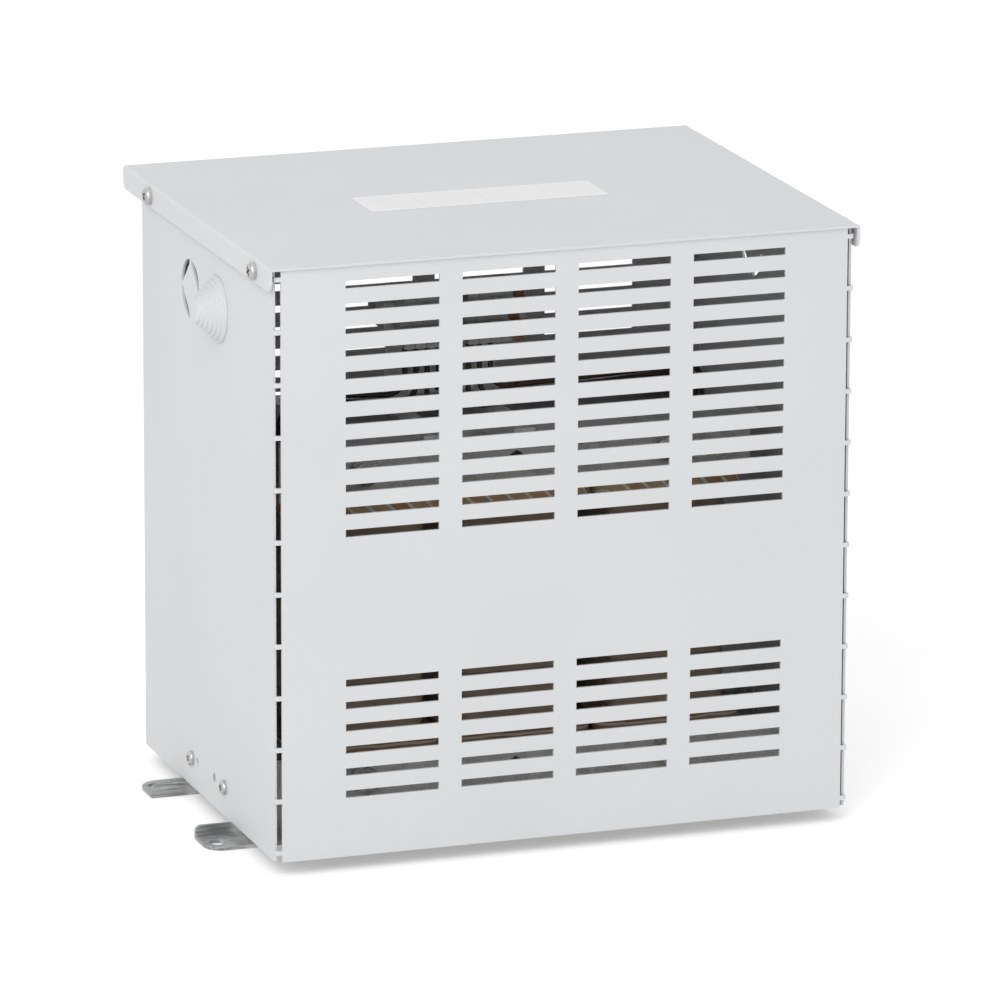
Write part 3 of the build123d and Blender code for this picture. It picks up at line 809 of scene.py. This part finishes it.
class TRANSFORMER_OT_stage(bpy.types.Operator):
    """Builds the pale floor, the soft light and the camera"""

    bl_idname = "transformer.stage"
    bl_label = "Stage"

    # Fitted to the corners of the case in the photograph
    camera_place = (-1.45197, -4.16668, 1.32274)
    camera_yaw = -19.313
    camera_pitch = 14.791
    camera_roll = 0.203
    camera_lens = 307.10

    camera_reach = 30.0
    key_place = (-2.2, -2.2, 2.6)
    key_size = 2.4
    front_place = (-1.9, -3.4, 1.2)
    front_size = 1.2
    lamp_aim = (0.0, 0.0, 0.16)
    floor_size = 30.0
    floor_gap = 0.0002
    floor_lift = 0.3

    def execute(self, context):
        looks = context.scene.transformer_looks
        scene = context.scene
        scene.view_settings.view_transform = "Standard"
        self.make_camera(scene)
        self.make_world(scene, looks.world_level)
        self.make_floor()
        self.make_lamp("key_lamp", looks.key_level, self.key_place, self.key_size)
        self.make_lamp("front_lamp", looks.front_level, self.front_place, self.front_size)
        return {"FINISHED"}

    def make_camera(self, scene):
        """A long lens from the left front, slightly above."""
        degrees = (self.camera_yaw, self.camera_pitch, self.camera_roll)
        yaw, pitch, roll = (math.radians(angle) for angle in degrees)
        turn = Matrix.Rotation(yaw, 4, "Z") @ Matrix.Rotation(math.pi / 2 - pitch, 4, "X")
        turn = turn @ Matrix.Rotation(roll, 4, "Z")
        data = bpy.data.cameras.new("photo_camera")
        data.lens = self.camera_lens
        data.clip_end = self.camera_reach
        camera = bpy.data.objects.new("photo_camera", data)
        camera.matrix_world = Matrix.Translation(self.camera_place) @ turn
        scene.collection.objects.link(camera)
        scene.camera = camera

    def make_world(self, scene, level):
        """Even light; the camera, reflections and see-through parts see plain white."""
        world = bpy.data.worlds.new("studio")
        world.use_nodes = True
        tree = world.node_tree
        back = tree.nodes["Background"]
        path = tree.nodes.new("ShaderNodeLightPath")
        seen = Wire(tree, path.outputs["Is Camera Ray"])
        mirrored = Wire(tree, path.outputs["Is Glossy Ray"])
        passed = Wire(tree, path.outputs["Is Transmission Ray"])
        white = seen.maths("MAXIMUM", seen, mirrored.maths("MAXIMUM", mirrored, passed))
        strength = white + (1.0 - white) * level
        tree.links.new(strength.socket, back.inputs["Strength"])
        back.inputs["Color"].default_value = (1.0, 1.0, 1.0, 1.0)
        scene.world = world

    def make_floor(self):
        """A wide pale floor under the feet; the camera sees it lifted towards white."""
        select_only([])
        bpy.ops.mesh.primitive_plane_add(size=self.floor_size, location=(0.0, 0.0, -self.floor_gap))
        floor = bpy.context.object
        floor.name = "floor"
        material = bpy.data.materials.new("pale_floor")
        material.use_nodes = True
        tree = material.node_tree
        shader = tree.nodes["Principled BSDF"]
        place = object_space(tree)
        shade = mix_colours(tree, noise(tree, place, 3.0), (0.93, 0.93, 0.93), (0.96, 0.96, 0.96))
        tree.links.new(shade.socket, shader.inputs["Base Color"])
        shader.inputs["Roughness"].default_value = 0.9
        shader.inputs["Specular IOR Level"].default_value = 0.1
        path = tree.nodes.new("ShaderNodeLightPath")
        lift = Wire(tree, path.outputs["Is Camera Ray"]) * self.floor_lift
        glow = mix_colours(tree, lift, (0.0, 0.0, 0.0), (1.0, 1.0, 1.0))
        tree.links.new(glow.socket, shader.inputs["Emission Color"])
        shader.inputs["Emission Strength"].default_value = 1.0
        floor.data.materials.append(material)

    def make_lamp(self, name, power, place, size):
        """A large square lamp that looks at the object."""
        data = bpy.data.lights.new(name, "AREA")
        data.energy = power
        data.size = size
        lamp = bpy.data.objects.new(name, data)
        aim = Vector(self.lamp_aim) - Vector(place)
        lamp.matrix_world = Matrix.Translation(place) @ aim.to_track_quat("-Z", "Y").to_matrix().to_4x4()
        bpy.context.scene.collection.objects.link(lamp)


class TRANSFORMER_OT_finishes(bpy.types.Operator):
    """Gives every carried-over solid the finish of its slot"""

    bl_idname = "transformer.finishes"
    bl_label = "Finishes"

    def execute(self, context):
        for part in frame["record"]["subparts"]:
            put_finish(frame["nodes"][part["node"]], part["material_slot"])
        return {"FINISHED"}


class TRANSFORMER_OT_case_screws(bpy.types.Operator):
    """Models the pan-head screws of the cover and the feet"""

    bl_idname = "transformer.case_screws"
    bl_label = "Case screws"

    cover_thread = 5.0
    side_thread = 4.0
    turn_per_mm = 37.0
    turn_per_side = 20.0

    def execute(self, context):
        cover_side, case_side = BOXES["top_cover"].high[X], BOXES["case_wrap"].high[X]
        self.both_sides("cross_cover_screws", "cover_screws", self.cover_thread, cover_side)
        self.both_sides("cross_side_screws", "side_screws", self.side_thread, case_side)
        return {"FINISHED"}

    def both_sides(self, name, replaced, thread, seat):
        """One kind of screw on both sides of the case, each with its recess turned otherwise."""
        box, screws = BOXES[replaced], solids(replaced)
        length = seat - max(each.low[X] for each in screws)
        screw = cross_head_screw(name, thread, length, box.size[Z], box.high[X] - seat)
        places = []
        for each in screws:
            x, y, z = each.middle
            side = 1 if x > 0.0 else -1
            turn = math.radians(self.turn_per_mm * y + self.turn_per_side * side)
            place = aimed((side * seat, y, z), "Y", side * 90.0)
            places.append(place @ Matrix.Rotation(turn, 4, "Z"))
        mounted(joined(name, copies(screw, places)), "zinc", replaced)


class TRANSFORMER_OT_grommet(bpy.types.Operator):
    """Models the stepped cable grommet"""

    bl_idname = "transformer.grommet"
    bl_label = "Grommet"

    bore = 5.2
    lip = 17.0
    neck = 15.8
    sheet = 1.5
    flange_height = 1.6
    flange_draft = 0.1
    steps = 6
    first_step = 16.1
    step = 1.9
    step_draft = 0.15
    tip_wall = 1.4
    edge = 0.35

    def execute(self, context):
        box, seat = BOXES["cable_grommet"], BOXES["case_wrap"].low[X]
        flange, back = box.size[Z] / 2, box.high[X] - seat
        tip = self.flange_height + self.steps * self.step
        profile = [(0.0, tip - self.tip_wall), (self.bore, tip - self.tip_wall), (self.bore, -back)]
        profile += [(self.lip, -back), (self.lip, -self.sheet), (self.neck, -self.sheet)]
        profile += [(self.neck, 0.0), (flange, 0.0), (flange - self.flange_draft, self.flange_height)]
        for count in range(self.steps):
            radius = self.first_step - count * self.step
            height = self.flange_height + count * self.step
            profile += [(radius, height), (radius - self.step_draft, height + self.step)]
        profile.append((0.0, tip))
        grommet = softened(turned("stepped_grommet", profile, steps=64), self.edge, segments=3)
        put(grommet, aimed((seat, box.middle[Y], box.middle[Z]), "Y", -90.0))
        mounted(shaded(grommet, angle=50.0), "grommet", "cable_grommet")
        return {"FINISHED"}


class TRANSFORMER_OT_plate(bpy.types.Operator):
    """Models the bare plate on the cover"""

    bl_idname = "transformer.plate"
    bl_label = "Plate"

    edge = 0.1

    def execute(self, context):
        box = BOXES["rating_label"]
        corner = context.scene.transformer_sizes.plate_corner / MM
        piece = round_uprights(cuboid("bare_cover_plate", box.low, box.high), corner)
        piece = softened(piece, self.edge, segments=2, angle=60.0)
        mounted(shaded(piece, angle=30.0), "label", "rating_label")
        return {"FINISHED"}


class TRANSFORMER_OT_core_hardware(bpy.types.Operator):
    """Models the core bolts with their nuts and washers"""

    bl_idname = "transformer.core_hardware"
    bl_label = "Core hardware"

    across_flats = 13.0
    shank = 3.95
    tip = 0.75
    into_head = 0.5
    nut_bore = 4.02
    washer_outside = 16.0
    washer_bore = 9.0
    to_front = 90.0
    to_rear = -90.0

    def execute(self, context):
        front = [box for box in solids("core_washers") if box.middle[Y] < CORE_Y]
        rear = [box for box in solids("core_washers") if box.middle[Y] > CORE_Y]
        self.make_bolts(front[0].low[Y])
        self.make_nuts(rear[0].high[Y])
        places = self.facing(front, front[0].high[Y], self.to_front)
        places += self.facing(rear, rear[0].low[Y], self.to_rear)
        washer = ring_washer("washer", self.washer_outside, self.washer_bore, front[0].size[Y])
        mounted(joined("round_washers", copies(washer, places)), "zinc", "core_washers")
        return {"FINISHED"}

    def make_bolts(self, seat):
        """Hexagon bolts, their heads seated on the front washers."""
        box = BOXES["core_bolts"]
        length, end = box.high[Y] - seat, self.shank - self.tip
        profile = [(0.0, -length), (end, -length), (self.shank, self.tip - length)]
        profile += [(self.shank, self.into_head), (0.0, self.into_head)]
        head = hex_body("bolt", self.across_flats, seat - box.low[Y], both_ends=False)
        bolt = shaded(carved(head, turned("shank", profile, steps=32), "UNION"))
        places = self.facing(solids("core_bolts"), seat, self.to_front)
        mounted(joined("chamfered_bolts", copies(bolt, places)), "zinc", "core_bolts")

    def make_nuts(self, seat):
        """Hexagon nuts on the rear washers."""
        height, past = BOXES["core_nuts"].size[Y], 1.0
        low, high = -past, height + past
        profile = [(0.0, low), (self.nut_bore, low), (self.nut_bore, high), (0.0, high)]
        body = hex_body("nut", self.across_flats, height, both_ends=True)
        nut = shaded(carved(body, turned("bore", profile, steps=32)))
        places = self.facing(solids("core_nuts"), seat, self.to_rear)
        mounted(joined("chamfered_nuts", copies(nut, places)), "zinc", "core_nuts")

    def facing(self, boxes, y, angle):
        """The middles of some boxes at one depth, turned to the front or the rear."""
        return [aimed((box.middle[X], y, box.middle[Z]), "X", angle) for box in boxes]


class TRANSFORMER_OT_soft_edges(bpy.types.Operator):
    """Rounds the edges of the case, cover, feet, clamps and terminals"""

    bl_idname = "transformer.soft_edges"
    bl_label = "Soft edges"

    def execute(self, context):
        sizes = context.scene.transformer_sizes
        bracket, sheet = sizes.bracket_edge / MM, sizes.sheet_edge / MM
        moulding = sizes.moulding_edge / MM
        for name in ("front_foot", "rear_foot", "front_clamp", "rear_clamp"):
            mounted(edged_copy(name, "rounded_" + name, bracket), "galvanised", name)
        mounted(edged_copy("top_cover", "rounded_top_cover", bracket), "paint", "top_cover")
        for name in ("case_wrap", "rear_panel"):
            mounted(edged_copy(name, "rounded_" + name, sheet), "paint", name)
        for name in ("secondary_terminals", "primary_terminals", "end_stops"):
            mounted(edged_copy(name, "moulded_" + name, moulding), "terminal", name)
        end_piece = edged_copy("end_terminal", "moulded_end_terminal", moulding)
        mounted(end_piece, "terminal_brown", "end_terminal")
        return {"FINISHED"}


class TRANSFORMER_OT_coils(bpy.types.Operator):
    """Models the wound bodies and their taped end collars"""

    bl_idname = "transformer.coils"
    bl_label = "Coils"

    coil_edge = 0.6
    collar_edge = 1.8

    def execute(self, context):
        sizes = context.scene.transformer_sizes
        formers = solids("coil_formers")
        coil = rounded_frame("coil", BOXES["left_winding"], formers[0], sizes.coil_corner / MM)
        coil = shaded(softened(coil, self.coil_edge, segments=2, angle=60.0), angle=40.0)
        for side, body in zip(("left", "centre", "right"), copies(coil, along_core(formers))):
            body.name = side + "_coil"
            mounted(body, "winding", side + "_winding")
        corner = sizes.collar_corner / MM
        self.collars("upper_end_tape", "upper_collars", corner)
        lower = self.collars("lower_end_tape", "lower_collars", corner)
        lower.data.materials[0] = lower_tape()
        return {"FINISHED"}

    def collars(self, name, replaced, corner):
        """The three collars at one height, in one piece."""
        formers = solids("coil_formers")
        collar = rounded_frame(name, solids(replaced)[0], formers[0], corner)
        collar = softened(collar, self.collar_edge, segments=4, angle=60.0)
        row = shaded(joined(name, copies(collar, along_core(formers))), angle=50.0)
        return mounted(row, "tape", replaced)


class TRANSFORMER_OT_leads(bpy.types.Operator):
    """Models the round leads from the windings to the terminals"""

    bl_idname = "transformer.leads"
    bl_label = "Leads"

    side_count = 3
    outer_x = 116.0
    spacing = 9.0
    rear_x = -14.0
    rear_y = 54.75
    rear_start = 172.5
    run_z = 228.5
    run_step = 5.0
    entry_y = -33.75

    def execute(self, context):
        secondary = [box.middle[X] for box in solids("secondary_terminals")]
        primary = [box.middle[X] for box in solids("primary_terminals")]
        left, middle = secondary[:self.side_count], secondary[self.side_count:]
        black = [self.side_lead(-self.outer_x, place, x) for place, x in enumerate(left)]
        black += [self.rear_lead(place, x) for place, x in enumerate(middle)]
        mounted(joined("black_leads", black), "lead_black", "secondary_leads")
        right = reversed(primary[:self.side_count])
        brown = [self.side_lead(self.outer_x, place, x) for place, x in enumerate(right)]
        mounted(joined("brown_leads", brown), "lead_brown", "primary_leads")
        return {"FINISHED"}

    def side_lead(self, x, place, end_x):
        """A lead up past the end of the yoke, along it and up into a terminal."""
        y, run_z = CORE_Y + self.spacing * (place - 1), self.run_z - self.run_step * place
        start = (x, y, BOXES["upper_collars"].high[Z])
        return self.lead("side_lead", [start, (x, y, run_z)], end_x, run_z)

    def rear_lead(self, place, end_x):
        """A lead that leaves the middle coil to the rear and rises behind the clamp."""
        x = self.rear_x + self.spacing * place
        start = (x, BOXES["upper_collars"].high[Y], self.rear_start)
        rise = [(x, self.rear_y, self.rear_start), (x, self.rear_y, self.run_z)]
        return self.lead("rear_lead", [start, *rise], end_x, self.run_z)

    def lead(self, name, points, end_x, run_z):
        """A lead through its first points, then under its terminal and up into it."""
        sizes = bpy.context.scene.transformer_sizes
        under = (end_x, self.entry_y, run_z)
        entry = (end_x, self.entry_y, BOXES["secondary_leads"].high[Z])
        return tube(name, [*points, under, entry], sizes.lead_diameter / MM, sizes.lead_bend / MM)


class TRANSFORMER_OT_terminal_screws(bpy.types.Operator):
    """Models the slotted clamp screws of the terminals, each slot turned otherwise"""

    bl_idname = "transformer.terminal_screws"
    bl_label = "Terminal screws"

    radius = 1.6
    rim_in = 0.2
    rim_down = 0.25
    slot_half = 0.22
    slot_bottom = 0.55
    slot_reach = 2.0

    def execute(self, context):
        box = BOXES["terminal_screws"]
        height = box.size[Y]
        profile = [(0.0, 0.0), (self.radius, 0.0), (self.radius, height - self.rim_down)]
        profile += [(self.radius - self.rim_in, height), (0.0, height)]
        low = (-self.slot_reach, -self.slot_half, self.slot_bottom)
        high = (self.slot_reach, self.slot_half, self.slot_reach)
        screw = turned("clamp_screw", profile, steps=20)
        screw = shaded(carved(screw, cuboid("slot", low, high)))
        places = []
        for each in solids("terminal_screws"):
            x, _, z = each.middle
            turn = x * z
            place = aimed((x, box.high[Y], z), "X", 90.0)
            places.append(place @ Matrix.Rotation(turn, 4, "Z"))
        mounted(joined("slotted_screws", copies(screw, places)), "zinc", "terminal_screws")
        return {"FINISHED"}


class TRANSFORMER_PT_panel(bpy.types.Panel):
    """Lists the sizes, colours and steps"""

    bl_label = "Transformer"
    bl_space_type = "VIEW_3D"
    bl_region_type = "UI"
    bl_category = "Transformer"

    def draw(self, context):
        scene = context.scene
        for settings in (scene.transformer_sizes, scene.transformer_looks):
            for name in settings.__annotations__:
                self.layout.prop(settings, name)
        for step in STEPS:
            self.layout.operator(step.bl_idname)


STEPS = (
    TRANSFORMER_OT_stage,
    TRANSFORMER_OT_finishes,
    TRANSFORMER_OT_case_screws,
    TRANSFORMER_OT_grommet,
    TRANSFORMER_OT_plate,
    TRANSFORMER_OT_core_hardware,
    TRANSFORMER_OT_soft_edges,
    TRANSFORMER_OT_coils,
    TRANSFORMER_OT_leads,
    TRANSFORMER_OT_terminal_screws,
)
CLASSES = (TransformerSizes, TransformerLooks, *STEPS, TRANSFORMER_PT_panel)


def register():
    """Registers the classes and the scene's settings."""
    for each in CLASSES:
        bpy.utils.register_class(each)
    bpy.types.Scene.transformer_sizes = bpy.props.PointerProperty(type=TransformerSizes)
    bpy.types.Scene.transformer_looks = bpy.props.PointerProperty(type=TransformerLooks)


def unregister():
    """Takes the settings and the classes out again."""
    del bpy.types.Scene.transformer_looks
    del bpy.types.Scene.transformer_sizes
    for each in reversed(CLASSES):
        bpy.utils.unregister_class(each)


def main():
    """Runs every step in order."""
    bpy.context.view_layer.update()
    register()
    for step in STEPS:
        group, name = step.bl_idname.split(".")
        getattr(getattr(bpy.ops, group), name)()


if __name__ == "__main__":
    main()
